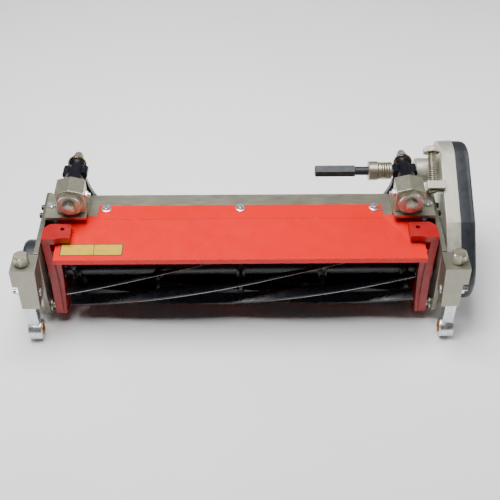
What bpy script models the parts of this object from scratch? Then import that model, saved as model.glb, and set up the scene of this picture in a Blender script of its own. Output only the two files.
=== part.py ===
"""Reel cutting unit for a greens mower: helical reel, pivoting bed knife and a belt drive on one side.

Sizes are in millimetres and are turned into metres by MM. They are measured in the reel frame: X runs along
the reel, to the drive side, +Y runs to the rear and +Z up, from the middle of the reel's axis. ORIGIN is where
the part's own origin lies in that frame: under the middle of the whole part, at its lowest point.
"""

import math

import bmesh
import bpy
from mathutils import Matrix, Vector

MM = 0.001
GAP = 0.3  # running and seating gap between neighbouring pieces
SIDES = (("left", -1), ("right", 1))
BOLT_STEPS = 12  # points round a small bolt: a multiple of 6, for its hex head
PAST = 5.0  # how far a cutting tool runs past the wall it cuts

ORIGIN = Vector((14.15, 42.0, -81.0))

# Reel: its axis is X, through the reel frame's origin.
REEL_LENGTH = 558.0
REEL_RADIUS = 63.0
REEL_SHAFT_RADIUS = 14.0
REEL_STUB_RADIUS = 11.0
REEL_STUB_START = 301.0
BLADES = 8
BLADE_ROOT_RADIUS = 45.0
BLADE_THICKNESS = 3.2
BLADE_TWIST = math.radians(-117)
BLADE_STATIONS = 22
SPIDERS = 5
SPIDER_PITCH = 134.0
SPIDER_THICKNESS = 6.0

# Side plates and the bearings in them. PLATE_HEEL is a corner of the plate: its Y, Z and radius.
PLATE_INNER = 313.0
PLATE_OUTER = 321.0
PLATE_FRONT = -58.0
PLATE_TOP = 84.0
PLATE_HEEL = (72.0, -24.0, 22.0)
BEARING_SPIGOT = 24.0
BEARING_FLANGE = 33.0
END_COVER_RADIUS = 46.0

# Front blocks, one before each side plate.
BLOCK_OUTER = 352.0
BLOCK_FRONT = -98.0
BLOCK_TOP = 82.0
BLOCK_BOTTOM = 2.0
BLOCK_TAPER = 3.0  # the inner face lies this much further out at the bottom
NOTCH_TOP = 50.0

# Cross plate with its rear flange and adjuster seats, and the shield under it. SHIELD_LINE is in (Y, Z).
CROSS_FRONT = 32.0
CROSS_REAR = 88.0
CROSS_TOP = 80.0
CROSS_THICKNESS = 6.0
FLANGE_LOW = 34.0
SEAT_Y = (32.0, 72.0)
SEAT_TOP = 97.0
SEAT_LIP = 20.0
SHIELD_SHEET = 2.0
SHIELD_LINE = ((81.7, 72.0), (81.7, 16.0), (74.0, -26.0), (66.0, -60.0))

# Roller brackets: zinc stems that slide in the front blocks, each with an eye for the front roller's spindle.
STEM_Y = -79.0
STEM_X = (326.0, 344.0)
STEM_HALF_DEPTH = 10.0
STEM_TOP = 44.0
EYE_Z = -64.0
EYE_RADIUS = 17.0
EYE_BORE = 11.0
EYE_X = (323.0, 345.0)
EYE_TRAVEL = 25.0
CLAMP_Z = 22.0
CLAMP_RADIUS = 4.0
CLAMP_HEAD = 6.5
SCREW_X = 335.0
SCREW_RADIUS = 4.0
SCREW_END = 30.0

# Bed knife: it hangs between the side plates on two pivot bolts and is set by the two red arms.
PIVOT = (-40.0, -47.0)
PIVOT_RADIUS = 6.0
TAB_Z = (83.0, 93.5)
TAB_Y = (-36.5, 0.5)
TAB_X = (267.0, 311.0)
TAB_HOLE = (280.5, -12.0, 3.6)
ROD_X = 303.0
ROD_Y = 40.0
ROD_RADIUS = 3.5
ROD_NUT = 6.0
LUG_Z = (22.0, 32.0)

# Adjusters: a knurled dial on a long screw through a block and a hanger on the cross plate.
DIAL_X = 270.0
DIAL_Z = 121.0
DIAL_FACE = 11.0
DIAL_RADIUS = 20.0
DIAL_THICKNESS = 9.5
DIAL_HEX = 9.0
BLOCK_Y = (21.0, 58.0)
BLOCK_HALF_WIDTH = 22.5
BLOCK_SHOULDER = 138.0
BLOCK_RIDGE = 144.0
SCREW_SHAFT = 6.5
HANGER_Y = (60.0, 119.0)
HANGER_COLLAR = 15.5
HANGER_NECK = 11.0
ARM_FOOT_Z = 44.0

# Cover: the red sheet over the reel.
COVER_HALF_WIDTH = 291.0
COVER_FRONT = -66.0
COVER_REAR = 58.0
COVER_SHEET = 2.0
COVER_FALL = 6.0
COVER_LIP = 7.0
COVER_STRIP_HALF_WIDTH = 231.0
COVER_BOLT_X = (-218.0, 0.0, 218.0)
COVER_BOLT_Y = 49.0
COVER_BOLT_RADIUS = 3.0

# Drive case: a cast back and a black cover over the belt, on the +X side.
INPUT_AXIS = (132.0, 94.0)
CASE_CIRCLES = ((0.0, 0.0, 56.0), (INPUT_AXIS[0], INPUT_AXIS[1], 50.0), (14.0, 76.0, 12.0))
CASE_SLOPE = math.atan2(INPUT_AXIS[1], INPUT_AXIS[0])
CASE_INNER = 330.0
CASE_JOINT = 353.0
CASE_OUTER = 379.0
CASE_WALL = 4.0
CASE_EDGE = 5.0
BELT_X = (346.0, 362.0)
BELT_THICKNESS = 3.0
REEL_PULLEY_RADIUS = 28.0
INPUT_PULLEY_RADIUS = 22.4
PULLEY_FLANGE = 4.0

# Tension bolt: it runs parallel to the belt through a lug, which is measured from LUG_CENTRE.
LUG_X = (303.0, 330.0)
LUG_CENTRE = (74.0, 118.0)
LUG_ALONG = (-16.0, -3.0)
LUG_ACROSS = (-12.0, 13.0)
TENSION_X = 314.0
TENSION_RADIUS = 7.0
TENSION_REACH = 47.0
TENSION_HEAD = 13.0

# Input shaft in its housing, the hex drive shaft and the spring between them.
INPUT_SHAFT_RADIUS = 10.0
HOUSING_LEFT = 293.0
HOUSING_RADIUS = 21.0
HOUSING_FLANGE = 29.0
SLEEVE_LEFT = 216.0
SLEEVE_RIGHT = 232.0
SLEEVE_RADIUS = 16.0
SPRING_CORE = 9.2
SPRING_RIGHT = 256.0
HEX_LEFT = 126.0
HEX_RIGHT = 194.0
HEX_FLATS = 8.8
HEX_NECK = 7.2

# The arm's web and rib, in (Y, Z), and the bed bar and knife between the arms' feet.
ARM_WEB_X = (287.0, 299.0)
ARM_RIB_X = (299.0, 311.0)
ARM_LEAN = 7.5  # the rib's foot lies this much nearer the reel than its head
ARM_WEB = [
    (-50.0, -58.0),
    (-40.0, -68.0),
    (52.0, -75.0),
    (58.0, -50.0),
    (40.0, -46.0),
    (10.0, -56.0),
    (-14.0, -50.0),
    (-22.0, -10.0),
    (-18.0, 20.0),
    (-16.0, 64.0),
    (-32.0, 64.0),
    (-34.0, 0.0),
]
ARM_RIB = [
    (-52.0, -54.0),
    (-44.0, -66.0),
    (-34.0, -66.0),
    (-28.0, -40.0),
    (-20.0, 10.0),
    (-17.0, TAB_Z[0] + 2),
    (TAB_Y[0], TAB_Z[0] + 2),
    (-38.0, 10.0),
]
BED_BAR = [(22.0, -66.5), (50.0, -72.8), (56.0, -70.0), (56.0, -50.0), (48.0, -48.0), (38.0, -56.0)]
BED_KNIFE = [(6.0, -63.3), (46.0, -72.2), (46.0, -75.2), (10.0, -67.6)]

COLOURS = {
    "red_paint": ((0.72, 0.015, 0.012), 0.28, 0.0),
    "black_steel": ((0.012, 0.013, 0.018), 0.32, 0.55),
    "nickel_plate": ((0.52, 0.50, 0.42), 0.38, 0.9),
    "cast_aluminium": ((0.66, 0.65, 0.58), 0.45, 0.75),
    "zinc": ((0.70, 0.73, 0.75), 0.25, 1.0),
    "black_cover": ((0.035, 0.04, 0.05), 0.42, 0.1),
    "steel": ((0.42, 0.42, 0.42), 0.3, 1.0),
    "rubber": ((0.02, 0.02, 0.02), 0.7, 0.0),
}


# ---- Making solids -------------------------------------------------------------------------------------------


def clear_scene():
    for obj in list(bpy.data.objects):
        bpy.data.objects.remove(obj, do_unlink=True)


def material_for(name, kind):
    colour, roughness, metallic = COLOURS[kind]
    material = bpy.data.materials.new(f"{name}_{kind}")
    material.use_nodes = True
    shader = material.node_tree.nodes["Principled BSDF"]
    shader.inputs["Base Color"].default_value = (*colour, 1.0)
    shader.inputs["Roughness"].default_value = roughness
    shader.inputs["Metallic"].default_value = metallic
    return material


def solid(name, bm, kind, pivot=(0.0, 0.0, 0.0)):
    """An object from a bmesh in reel-frame millimetres, with its origin at pivot."""
    pivot = Vector(pivot)
    bmesh.ops.recalc_face_normals(bm, faces=bm.faces)
    bm.transform(Matrix.Scale(MM, 4) @ Matrix.Translation(-pivot))
    mesh = bpy.data.meshes.new(name)
    bm.to_mesh(mesh)
    bm.free()
    mesh.shade_smooth()
    mesh.set_sharp_from_angle(angle=math.radians(32))
    obj = bpy.data.objects.new(name, mesh)
    obj.location = (pivot - ORIGIN) * MM
    mesh.materials.append(material_for(name, kind))
    bpy.context.scene.collection.objects.link(obj)
    return obj


def along(axis, first, second, distance):
    """A point from its two coordinates across an axis and its distance along it."""
    if axis == "X":
        return Vector((distance, first, second))
    if axis == "Y":
        return Vector((first, distance, second))
    return Vector((first, second, distance))


def skin(bm, rings, bored=False):
    """Faces between rings of equally many points, closed by end faces or by a bore back to the first."""
    rows = [[bm.verts.new(point) for point in ring] for ring in rings]
    pairs = list(zip(rows, rows[1:]))
    if bored:
        pairs.append((rows[-1], rows[0]))
    else:
        bm.faces.new(rows[0])
        bm.faces.new(rows[-1])
    count = len(rows[0])
    for low, high in pairs:
        for i in range(count):
            j = (i + 1) % count
            bm.faces.new((low[i], low[j], high[j], high[i]))


def prism(name, outline, axis, span, kind, pivot=(0.0, 0.0, 0.0)):
    bm = bmesh.new()
    skin(bm, [[along(axis, a, b, end) for a, b in outline] for end in span])
    return solid(name, bm, kind, pivot)


def section(radius, shape, steps):
    """The points of a round, hexagonal (radius is half the flats) or knurled section."""
    points = []
    for i in range(steps):
        angle = 2 * math.pi * i / steps
        reach = radius
        if shape == "hex":
            reach = radius / math.cos((angle + math.pi / 6) % (math.pi / 3) - math.pi / 6)
        elif shape == "knurl" and i % 2:
            reach = radius - 1.0
        points.append((reach * math.cos(angle), reach * math.sin(angle)))
    return points


def turned(name, sections, axis, centre, kind, steps=24, bored=False, pivot=None):
    """A piece turned about an axis. Each section is (distance along the axis, radius, shape)."""
    rings = []
    for distance, radius, shape in sections:
        ring = section(radius, shape, steps)
        rings.append([along(axis, a + centre[0], b + centre[1], distance) for a, b in ring])
    bm = bmesh.new()
    skin(bm, rings, bored)
    return solid(name, bm, kind, pivot or along(axis, *centre, 0.0))


def round_bar(low, high, radius):
    return [(low, radius, "round"), (high, radius, "round")]


def tube(low, high, outer, inner):
    return [*round_bar(low, high, outer), (high, inner, "round"), (low, inner, "round")]


def hull_of(circles, grow=0.0, steps=48):
    """The outline around circles (a, b, radius), moved out by grow: one point for each direction."""
    outline = []
    for i in range(steps):
        angle = 2 * math.pi * i / steps
        across, up = math.cos(angle), math.sin(angle)
        a, b, r = max(circles, key=lambda c: c[0] * across + c[1] * up + c[2])
        outline.append((a + (r + grow) * across, b + (r + grow) * up))
    cleaned = [p for i, p in enumerate(outline) if math.dist(p, outline[i - 1]) > 0.01]
    return cleaned


def box_outline(low, high):
    return [(low[0], low[1]), (high[0], low[1]), (high[0], high[1]), (low[0], high[1])]


def combine(target, tool, operation):
    """A Boolean on target. The tool is kept as a hidden helper."""
    tool.hide_render = True
    tool.display_type = "WIRE"
    modifier = target.modifiers.new(f"{operation.lower()}_{tool.name}", "BOOLEAN")
    modifier.operation = operation
    modifier.object = tool


def bore(target, axis, centre, span, radius, steps=24):
    tool = turned(f"tool_{len(bpy.data.objects)}", round_bar(*span, radius), axis, centre, "steel", steps)
    combine(target, tool, "DIFFERENCE")


def cut_prism(target, outline, axis, span):
    tool = prism(f"tool_{len(bpy.data.objects)}", outline, axis, span, "steel")
    combine(target, tool, "DIFFERENCE")


def join_prism(target, outline, axis, span):
    tool = prism(f"tool_{len(bpy.data.objects)}", outline, axis, span, "steel")
    combine(target, tool, "UNION")


def coil(name, axis, centre, span, radius, wire, turns, kind):
    """A closed-ended coil spring as a bevelled curve."""
    per_turn = 8
    steps = turns * per_turn
    data = bpy.data.curves.new(name, "CURVE")
    data.dimensions = "3D"
    data.bevel_depth = wire * MM
    data.bevel_resolution = 0
    data.use_fill_caps = True
    spline = data.splines.new("POLY")
    spline.points.add(steps)
    for i in range(steps + 1):
        angle = 2 * math.pi * i / per_turn
        distance = span[0] + wire + (span[1] - span[0] - 2 * wire) * i / steps
        point = along(
            axis,
            centre[0] + radius * math.cos(angle),
            centre[1] + radius * math.sin(angle),
            distance,
        )
        spline.points[i].co = (*((point - ORIGIN) * MM), 1.0)
    data.materials.append(material_for(name, kind))
    obj = bpy.data.objects.new(name, data)
    bpy.context.scene.collection.objects.link(obj)
    return obj


def mirrored(side, low, high):
    """A span of X on one side of the machine."""
    return (low, high) if side > 0 else (-high, -low)


# ---- Reel ----------------------------------------------------------------------------------------------------


def reel_blade(index):
    """One helical blade: a flat bar on edge, wound about the reel's axis."""
    start = 2 * math.pi * index / BLADES
    rings = []
    for i in range(BLADE_STATIONS + 1):
        share = i / BLADE_STATIONS
        x = REEL_LENGTH * (share - 0.5)
        angle = start + BLADE_TWIST * share
        outward = Vector((0, math.cos(angle), math.sin(angle)))
        sideways = Vector((0, -math.sin(angle), math.cos(angle))) * BLADE_THICKNESS / 2
        inner, outer = outward * BLADE_ROOT_RADIUS, outward * (REEL_RADIUS - 0.05)
        corners = (inner - sideways, outer - sideways, outer + sideways, inner + sideways)
        rings.append([Vector((x, 0, 0)) + corner for corner in corners])
    bm = bmesh.new()
    skin(bm, rings)
    solid(f"reel_blade_{index + 1}", bm, "black_steel")


def make_reel():
    for index in range(BLADES):
        reel_blade(index)
    for index in range(SPIDERS):
        x = (index - (SPIDERS - 1) / 2) * SPIDER_PITCH
        half = SPIDER_THICKNESS / 2
        rim = BLADE_ROOT_RADIUS - GAP
        profile = tube(x - half, x + half, rim, REEL_SHAFT_RADIUS + GAP)
        turned(f"reel_spider_{index + 1}", profile, "X", (0, 0), "black_steel", 24, bored=True)
    sections = [
        (-(PLATE_OUTER + 4), REEL_STUB_RADIUS, "round"),
        (-REEL_STUB_START, REEL_STUB_RADIUS, "round"),
        (-REEL_STUB_START, REEL_SHAFT_RADIUS, "round"),
        (REEL_STUB_START, REEL_SHAFT_RADIUS, "round"),
        (REEL_STUB_START, REEL_STUB_RADIUS, "round"),
        (BELT_X[1] + 6, REEL_STUB_RADIUS, "round"),
    ]
    turned("reel_shaft", sections, "X", (0, 0), "steel")
    pulley("reel_pulley", (0, 0), REEL_PULLEY_RADIUS, REEL_STUB_RADIUS)


def pulley(name, centre, radius, shaft):
    """A flat-rimmed toothed-belt pulley between two flanges."""
    low, high = BELT_X
    flange = radius + PULLEY_FLANGE
    rim = [
        (low - 3, flange, "round"),
        (low - 0.5, flange, "round"),
        (low - 0.5, radius, "round"),
        (high + 0.5, radius, "round"),
        (high + 0.5, flange, "round"),
        (high + 3, flange, "round"),
    ]
    bore_radius = shaft + GAP
    wall = [(high + 3, bore_radius, "round"), (low - 3, bore_radius, "round")]
    turned(name, rim + wall, "X", centre, "steel", 24, bored=True)


# ---- Frame ---------------------------------------------------------------------------------------------------


def side_plate(label, side):
    """A flat plate around the reel bearing, cut square at the front where the block carries on."""
    corners = (
        (PLATE_FRONT, PLATE_TOP, 0.0),
        (88.0, 76.0, 8.0),
        PLATE_HEEL,
        (0.0, -8.0, 48.0),
        (*PIVOT, 14.0),
        (PLATE_FRONT, -30.0, 0.0),
    )
    thickness = mirrored(side, PLATE_INNER, PLATE_OUTER)
    plate = prism(f"side_plate_{label}", hull_of(corners), "X", thickness, "nickel_plate")
    through = mirrored(side, PLATE_INNER - PAST, PLATE_OUTER + PAST)
    bore(plate, "X", (0, 0), through, BEARING_SPIGOT + GAP, 36)
    bore(plate, "X", PIVOT, through, PIVOT_RADIUS + GAP)


def front_block(label, side):
    """The block that carries a roller bracket: notched outside, slotted inside for the bracket's stem."""
    face = [
        (PLATE_INNER + BLOCK_TAPER, BLOCK_BOTTOM),
        (STEM_X[1], BLOCK_BOTTOM),
        (STEM_X[1], NOTCH_TOP),
        (BLOCK_OUTER, NOTCH_TOP),
        (BLOCK_OUTER, BLOCK_TOP),
        (PLATE_INNER, BLOCK_TOP),
    ]
    outline = [(side * x, z) for x, z in face]
    block = prism(f"front_block_{label}", outline, "Y", (BLOCK_FRONT, PLATE_FRONT - GAP), "nickel_plate")
    low, high = STEM_Y - STEM_HALF_DEPTH - GAP, STEM_Y + STEM_HALF_DEPTH + GAP
    slot_x = mirrored(side, STEM_X[0] - GAP, BLOCK_OUTER + PAST)
    cut_prism(block, box_outline((low, BLOCK_BOTTOM - PAST), (high, NOTCH_TOP)), "X", slot_x)
    pocket_x = mirrored(side, STEM_X[0] - GAP, STEM_X[1] + GAP)
    cut_prism(block, box_outline((low, NOTCH_TOP - PAST), (high, STEM_TOP + EYE_TRAVEL + 1)), "X", pocket_x)
    bore(block, "Z", (side * SCREW_X, STEM_Y), (STEM_TOP, BLOCK_TOP + PAST), SCREW_RADIUS + GAP)
    bore(block, "X", (STEM_Y, CLAMP_Z), mirrored(side, PLATE_INNER - PAST, STEM_X[0] + PAST), CLAMP_HEAD + 3)


def cross_plate():
    """The top plate with its rear flange, and the raised seat for an adjuster at each end."""
    half = PLATE_INNER - GAP
    sheet = box_outline((CROSS_FRONT, CROSS_TOP - CROSS_THICKNESS), (CROSS_REAR, CROSS_TOP))
    plate = prism("cross_plate", sheet, "X", (-half, half), "nickel_plate")
    flange = box_outline((CROSS_REAR - CROSS_THICKNESS, FLANGE_LOW), (CROSS_REAR, CROSS_TOP - 1))
    join_prism(plate, flange, "X", (-half, half))
    for _, side in SIDES:
        inner = DIAL_X - BLOCK_HALF_WIDTH - 1.5
        seat = box_outline((SEAT_Y[0], CROSS_TOP - 2), (SEAT_Y[1], SEAT_TOP))
        join_prism(plate, seat, "X", mirrored(side, inner, half))
        low, high = mirrored(side, inner, PLATE_INNER - 1)
        lip = box_outline((low, SEAT_TOP - 5), (high, SEAT_TOP))
        join_prism(plate, lip, "Y", (SEAT_Y[0] - SEAT_LIP, SEAT_Y[0] + 4))
        bore(plate, "Z", (side * ROD_X, ROD_Y), (FLANGE_LOW, SEAT_TOP + PAST), ROD_RADIUS + GAP)
    for x in COVER_BOLT_X:
        bore(plate, "Z", (x, COVER_BOLT_Y), (FLANGE_LOW, CROSS_TOP + PAST), COVER_BOLT_RADIUS + GAP)


def rear_shield():
    """The black sheet behind the reel, from the cross plate's flange down and in towards the bed bar."""
    half = PLATE_INNER - GAP
    front = [(y - SHIELD_SHEET, z) for y, z in SHIELD_LINE]
    prism("rear_shield", [*SHIELD_LINE, *front[::-1]], "X", (-half, half), "black_steel")


def reel_bearing(label, side):
    """A flanged housing: its spigot fills the side plate's hole and its flange lies against the outer face."""
    inner = REEL_STUB_RADIUS + GAP
    ends = [PLATE_INNER - 1, PLATE_OUTER + GAP, PLATE_OUTER + GAP, PLATE_OUTER + 7]
    radii = [BEARING_SPIGOT, BEARING_SPIGOT, BEARING_FLANGE, BEARING_FLANGE]
    sections = [(side * x, r, "round") for x, r in zip(ends, radii)]
    sections += [(side * ends[-1], inner, "round"), (side * ends[0], inner, "round")]
    turned(f"reel_bearing_{label}", sections, "X", (0, 0), "steel", 24, bored=True)


def end_cover():
    """The round black cover over the reel's bearing on the side away from the drive."""
    sections = [
        (-(PLATE_OUTER + 7 + GAP), END_COVER_RADIUS, "round"),
        (-(BLOCK_OUTER - 3), END_COVER_RADIUS, "round"),
        (-(BLOCK_OUTER + 2), END_COVER_RADIUS - 4, "round"),
        (-(BLOCK_OUTER + 2), 12.0, "round"),
        (-(BLOCK_OUTER + 4), 10.0, "round"),
    ]
    turned("end_cover", sections, "X", (0, 0), "black_cover")


def clamp_bolt(label, side):
    """The bolt that clamps a stem: its head is inside the block, its washer and nut are outside the stem."""
    sections = [
        (PLATE_INNER + 1, CLAMP_HEAD, "hex"),
        (STEM_X[0] - GAP - 3, CLAMP_HEAD, "hex"),
        (STEM_X[0] - GAP - 3, CLAMP_RADIUS, "round"),
        (STEM_X[1] + GAP, CLAMP_RADIUS, "round"),
        (STEM_X[1] + GAP, CLAMP_HEAD + 4, "round"),
        (STEM_X[1] + 2, CLAMP_HEAD + 4, "round"),
        (STEM_X[1] + 2, CLAMP_HEAD, "hex"),
        (STEM_X[1] + 8, CLAMP_HEAD, "hex"),
        (STEM_X[1] + 8, CLAMP_RADIUS, "round"),
        (STEM_X[1] + 14, CLAMP_RADIUS, "round"),
    ]
    sections = [(side * x, radius, shape) for x, radius, shape in sections]
    turned(f"clamp_bolt_{label}", sections, "X", (STEM_Y, CLAMP_Z), "zinc", BOLT_STEPS)


def make_frame():
    for label, side in SIDES:
        side_plate(label, side)
        front_block(label, side)
        reel_bearing(label, side)
        clamp_bolt(label, side)
    cross_plate()
    rear_shield()
    end_cover()


# ---- Roller brackets -----------------------------------------------------------------------------------------


def roller_bracket(label, side):
    """A flat stem with the roller's eye at its foot, a slot for the clamp bolt and a hole for the screw."""
    pivot = (side * SCREW_X, STEM_Y, EYE_Z)
    flat = box_outline((STEM_Y - STEM_HALF_DEPTH, EYE_Z), (STEM_Y + STEM_HALF_DEPTH, STEM_TOP))
    stem = prism(f"roller_bracket_{label}", flat, "X", mirrored(side, *STEM_X), "zinc", pivot)
    profile = round_bar(*mirrored(side, *EYE_X), EYE_RADIUS)
    eye = turned(f"tool_eye_{label}", profile, "X", (STEM_Y, EYE_Z), "zinc", 32)
    combine(stem, eye, "UNION")
    bore(stem, "X", (STEM_Y, EYE_Z), mirrored(side, EYE_X[0] - PAST, EYE_X[1] + PAST), EYE_BORE, 28)
    half = CLAMP_RADIUS + 0.5
    slot = box_outline((STEM_Y - half, CLAMP_Z - EYE_TRAVEL - half), (STEM_Y + half, CLAMP_Z + half))
    cut_prism(stem, slot, "X", mirrored(side, STEM_X[0] - PAST, STEM_X[1] + PAST))
    bore(stem, "Z", (side * SCREW_X, STEM_Y), (CLAMP_Z, STEM_TOP + PAST), SCREW_RADIUS + GAP)


def height_screw(label, side):
    """The hex-headed screw that raises and lowers a roller bracket."""
    sections = [
        (SCREW_END, SCREW_RADIUS, "round"),
        (BLOCK_TOP + GAP, SCREW_RADIUS, "round"),
        (BLOCK_TOP + GAP, 8.0, "round"),
        (BLOCK_TOP + 3, 8.0, "round"),
        (BLOCK_TOP + 3, 10.5, "hex"),
        (BLOCK_TOP + 17, 10.5, "hex"),
        (BLOCK_TOP + 18.5, 9.0, "round"),
    ]
    turned(f"height_screw_{label}", sections, "Z", (side * SCREW_X, STEM_Y), "nickel_plate", BOLT_STEPS)


# ---- Bed knife -----------------------------------------------------------------------------------------------


def bed_arm(label, side):
    """A red casting: a web up from the pivot, a front rib, a top tab and a fork for the spring rod."""
    pivot = (0.0, *PIVOT)
    arm = prism(f"bed_arm_{label}", ARM_WEB, "X", mirrored(side, *ARM_WEB_X), "red_paint", pivot)
    combine(arm, arm_rib(label, side), "UNION")
    tab = [
        (TAB_X[0], TAB_Y[0] + 3),
        (TAB_X[0] + 16, TAB_Y[0] + 3),
        (TAB_X[0] + 24, TAB_Y[0]),
        (TAB_X[1], TAB_Y[0]),
        (TAB_X[1], TAB_Y[1] - 10),
        (TAB_X[1] - 9, TAB_Y[1]),
        (TAB_X[0] + 3, TAB_Y[1]),
        (TAB_X[0], TAB_Y[1] - 3),
    ]
    join_prism(arm, [(side * x, y) for x, y in tab], "Z", TAB_Z)
    low, high = mirrored(side, ROD_X - 9, PLATE_INNER - 2)
    join_prism(arm, box_outline((low, -22.0), (high, ROD_Y + 8)), "Z", LUG_Z)
    low, high = mirrored(side, ROD_X - 5, ROD_X + 5)
    fork = box_outline((low, ROD_Y - 9), (high, ROD_Y + 20))
    cut_prism(arm, fork, "Z", (LUG_Z[0] - PAST, LUG_Z[1] + PAST))
    bore(arm, "Z", (side * TAB_HOLE[0], TAB_HOLE[1]), (TAB_Z[0] - PAST, TAB_Z[1] + PAST), TAB_HOLE[2])
    bore(arm, "X", PIVOT, mirrored(side, ARM_WEB_X[0] - PAST, ARM_RIB_X[1] + PAST), PIVOT_RADIUS + GAP)


def arm_rib(label, side):
    """The rib along an arm's front, which leans in towards its foot."""
    foot, head = min(z for _, z in ARM_RIB), max(z for _, z in ARM_RIB)
    rings = []
    for x in ARM_RIB_X:
        leaning = [(x - ARM_LEAN * (head - z) / (head - foot), y, z) for y, z in ARM_RIB]
        rings.append([Vector((side * across, y, z)) for across, y, z in leaning])
    bm = bmesh.new()
    skin(bm, rings)
    return solid(f"tool_rib_{label}", bm, "red_paint")


def bed_bar():
    """The bar behind and under the reel that carries the knife, bolted between the arms' feet."""
    half = ARM_WEB_X[0] - GAP
    prism("bed_bar", BED_BAR, "X", (-half, half), "black_steel", (0.0, *PIVOT))


def bed_knife():
    """A flat blade screwed under the bed bar, its ground edge just off the reel."""
    half = REEL_LENGTH / 2 + 2
    prism("bed_knife", BED_KNIFE, "X", (-half, half), "steel", (0.0, *PIVOT))


def pivot_bolt(label, side):
    sections = [
        (ARM_WEB_X[0] + 1, PIVOT_RADIUS, "round"),
        (PLATE_OUTER + GAP, PIVOT_RADIUS, "round"),
        (PLATE_OUTER + GAP, 10.0, "hex"),
        (PLATE_OUTER + 7, 10.0, "hex"),
    ]
    sections = [(side * x, radius, shape) for x, radius, shape in sections]
    turned(f"pivot_bolt_{label}", sections, "X", PIVOT, "nickel_plate", BOLT_STEPS)


def spring_rod(label, side):
    """The rod that hangs from the cross plate through the arm's fork, with a nut at each end."""
    sections = [
        (LUG_Z[0] - 22, ROD_RADIUS, "round"),
        (LUG_Z[0] - 14, ROD_RADIUS, "round"),
        (LUG_Z[0] - 14, ROD_NUT, "hex"),
        (LUG_Z[0] - 8, ROD_NUT, "hex"),
        (LUG_Z[0] - 8, ROD_RADIUS, "round"),
        (SEAT_TOP + GAP, ROD_RADIUS, "round"),
        (SEAT_TOP + GAP, ROD_NUT, "hex"),
        (SEAT_TOP + 5, ROD_NUT, "hex"),
    ]
    centre = (side * ROD_X, ROD_Y)
    turned(f"spring_rod_{label}", sections, "Z", centre, "zinc", BOLT_STEPS)
    span = (LUG_Z[1] + GAP, CROSS_TOP - CROSS_THICKNESS - GAP)
    coil(f"arm_spring_{label}", "Z", centre, span, radius=ROD_RADIUS + 2.4, wire=0.9, turns=6, kind="zinc")


def make_bed():
    for label, side in SIDES:
        bed_arm(label, side)
        pivot_bolt(label, side)
        spring_rod(label, side)
    bed_bar()
    bed_knife()


# ---- Adjusters and hangers -----------------------------------------------------------------------------------


def adjuster_dial(label, side):
    """The long adjusting screw with its hex head, knurled dial and domed end nut."""
    sections = [
        (DIAL_FACE - 9, 8.0, "round"),
        (DIAL_FACE - 8, DIAL_HEX, "hex"),
        (DIAL_FACE, DIAL_HEX, "hex"),
        (DIAL_FACE, DIAL_RADIUS, "knurl"),
        (DIAL_FACE + DIAL_THICKNESS, DIAL_RADIUS, "knurl"),
        (DIAL_FACE + DIAL_THICKNESS, SCREW_SHAFT, "round"),
        (HANGER_Y[1] + GAP, SCREW_SHAFT, "round"),
        (HANGER_Y[1] + GAP, HANGER_COLLAR, "round"),
        (HANGER_Y[1] + 4, HANGER_COLLAR, "round"),
        (HANGER_Y[1] + 4, DIAL_HEX, "hex"),
        (HANGER_Y[1] + 17, DIAL_HEX, "hex"),
        (HANGER_Y[1] + 18, DIAL_HEX, "round"),
        (HANGER_Y[1] + 26, 7.5, "round"),
        (HANGER_Y[1] + 30, 3.5, "round"),
    ]
    turned(f"adjuster_dial_{label}", sections, "Y", (side * DIAL_X, DIAL_Z), "nickel_plate", 36)


def adjuster_block(label, side):
    """The bored block that holds the adjusting screw, with a shallow roof along its top."""
    centre = side * DIAL_X
    low = SEAT_TOP + GAP
    outline = [
        (centre - BLOCK_HALF_WIDTH, low),
        (centre + BLOCK_HALF_WIDTH, low),
        (centre + BLOCK_HALF_WIDTH, BLOCK_SHOULDER),
        (centre, BLOCK_RIDGE),
        (centre - BLOCK_HALF_WIDTH, BLOCK_SHOULDER),
    ]
    block = prism(f"adjuster_block_{label}", outline, "Y", BLOCK_Y, "nickel_plate")
    bore(block, "Y", (centre, DIAL_Z), (BLOCK_Y[0] - PAST, BLOCK_Y[1] + PAST), SCREW_SHAFT + GAP)


def hanger(label, side):
    """The black casting behind a block: a collar, a lobed neck, a rear flange and an arm to the cross plate."""
    start, end = HANGER_Y
    inner = SCREW_SHAFT + GAP
    sections = [
        (start, HANGER_COLLAR, "round"),
        (start + 20, HANGER_COLLAR, "round"),
        (start + 24, HANGER_NECK, "round"),
        (end - 8, HANGER_NECK, "round"),
        (end - 5, 14.0, "round"),
        (end, 14.0, "round"),
        (end, inner, "round"),
        (start, inner, "round"),
    ]
    body = turned(f"hanger_{label}", sections, "Y", (side * DIAL_X, DIAL_Z), "black_steel", 20, bored=True)
    for lobe_side in (-1, 1):
        centre = (side * DIAL_X + lobe_side * 14.5, DIAL_Z + 1)
        profile = round_bar(start + 28, start + 48, 6.0)
        combine(body, turned(f"tool_lobe_{label}_{lobe_side}", profile, "Y", centre, "steel", 16), "UNION")
    steps = 8
    outer, inner_edge = [], []
    for i in range(steps + 1):
        share = i / steps
        x = DIAL_X - 12 - 32 * share * share
        z = DIAL_Z - 2 - (DIAL_Z - ARM_FOOT_Z) * share
        outer.append((side * (x + 4), z))
        inner_edge.append((side * (x - 5 - 3 * share), z))
    join_prism(body, outer + inner_edge[::-1], "Y", (CROSS_REAR + GAP, CROSS_REAR + 9))


def make_adjusters():
    for label, side in SIDES:
        adjuster_dial(label, side)
        adjuster_block(label, side)
        hanger(label, side)


# ---- Cover ---------------------------------------------------------------------------------------------------


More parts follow.
